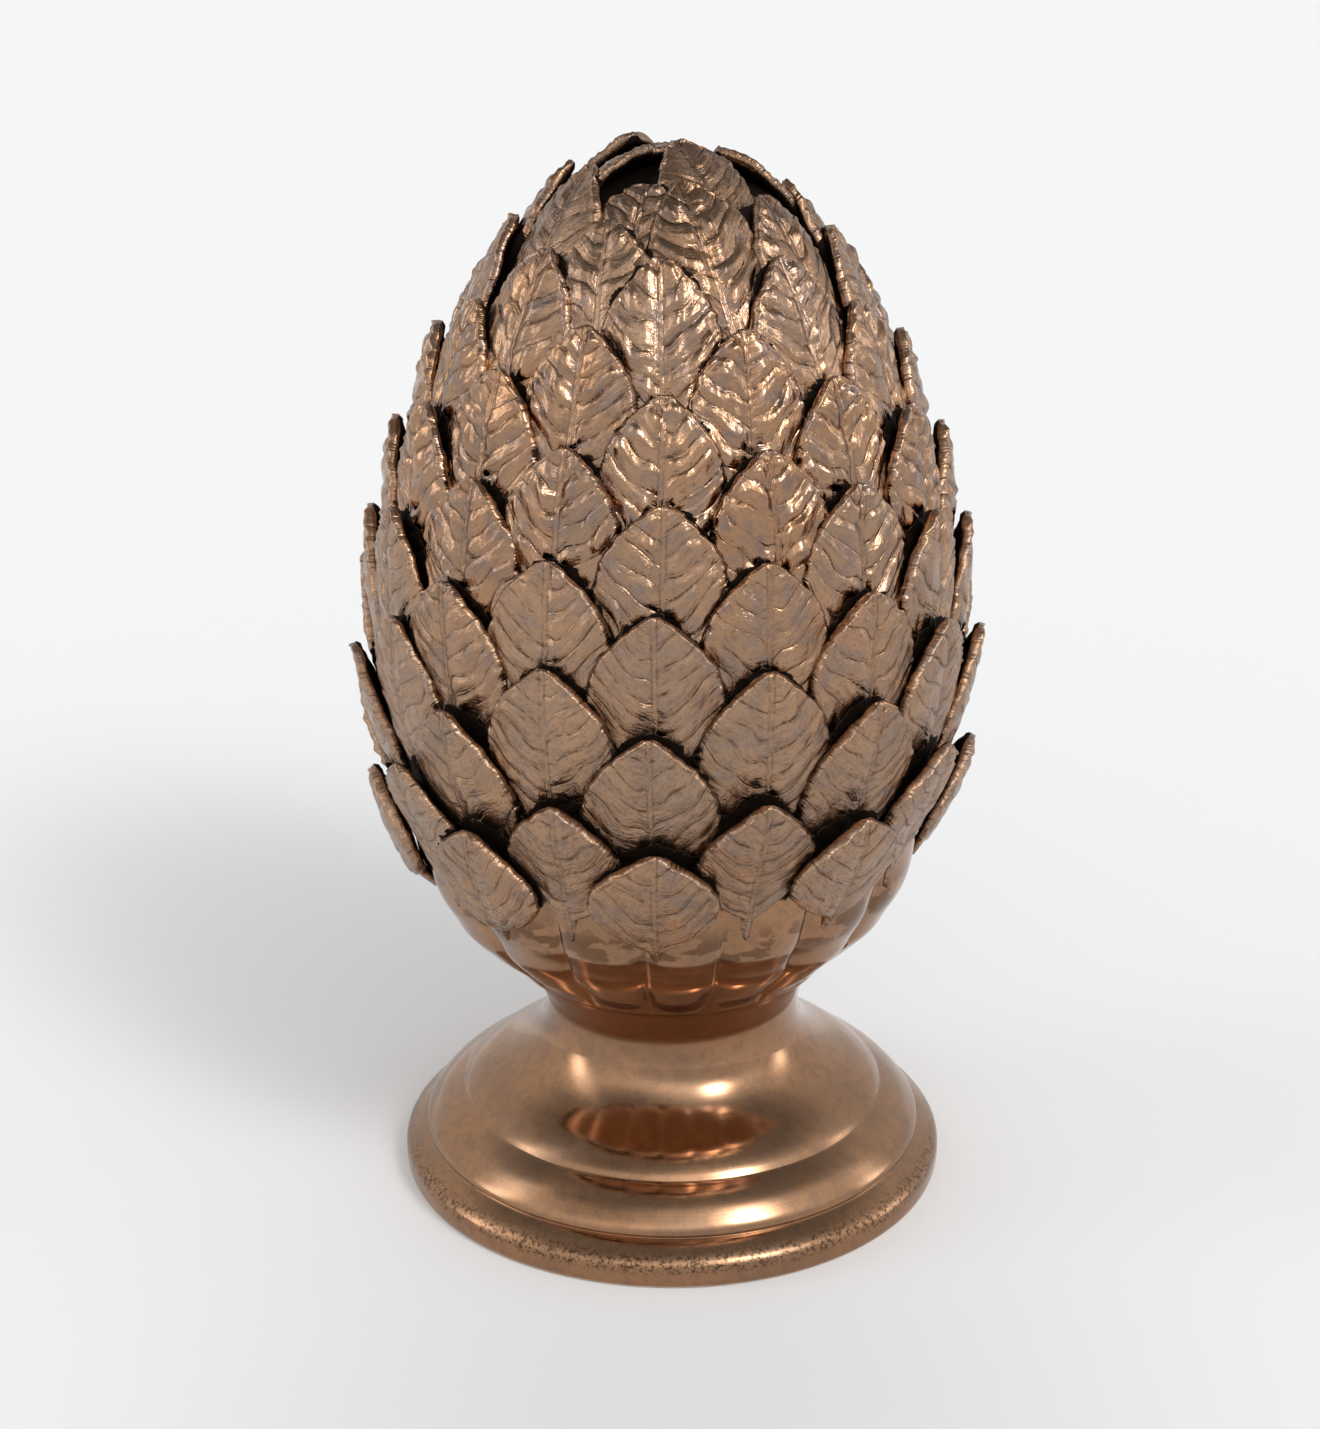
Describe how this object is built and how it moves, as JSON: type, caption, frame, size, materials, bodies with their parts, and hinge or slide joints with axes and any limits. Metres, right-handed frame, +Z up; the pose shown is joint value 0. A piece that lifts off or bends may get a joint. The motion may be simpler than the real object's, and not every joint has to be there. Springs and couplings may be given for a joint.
{
  "type": "artichoke finial sculpture",
  "caption": "Glazed ceramic artichoke finial: overlapping upright leaf scales on an egg-shaped body, fluted cup, short neck and round stepped foot.",
  "frame": {"origin": "on the floor, under the vertical axis of the turned foot", "axes": "+Z up along the sculpture's axis, -Y towards the side seen in the picture, +X to its right"},
  "size_m": [0.2627, 0.2658, 0.4596],
  "materials": {
    "artichoke_finial": "bronze and copper lustre glaze, polished, darker where it pools between the leaves"
  },
  "bodies": {
    "root": {"artichoke_finial": "artichoke_finial"}
  },
  "joints": []
}
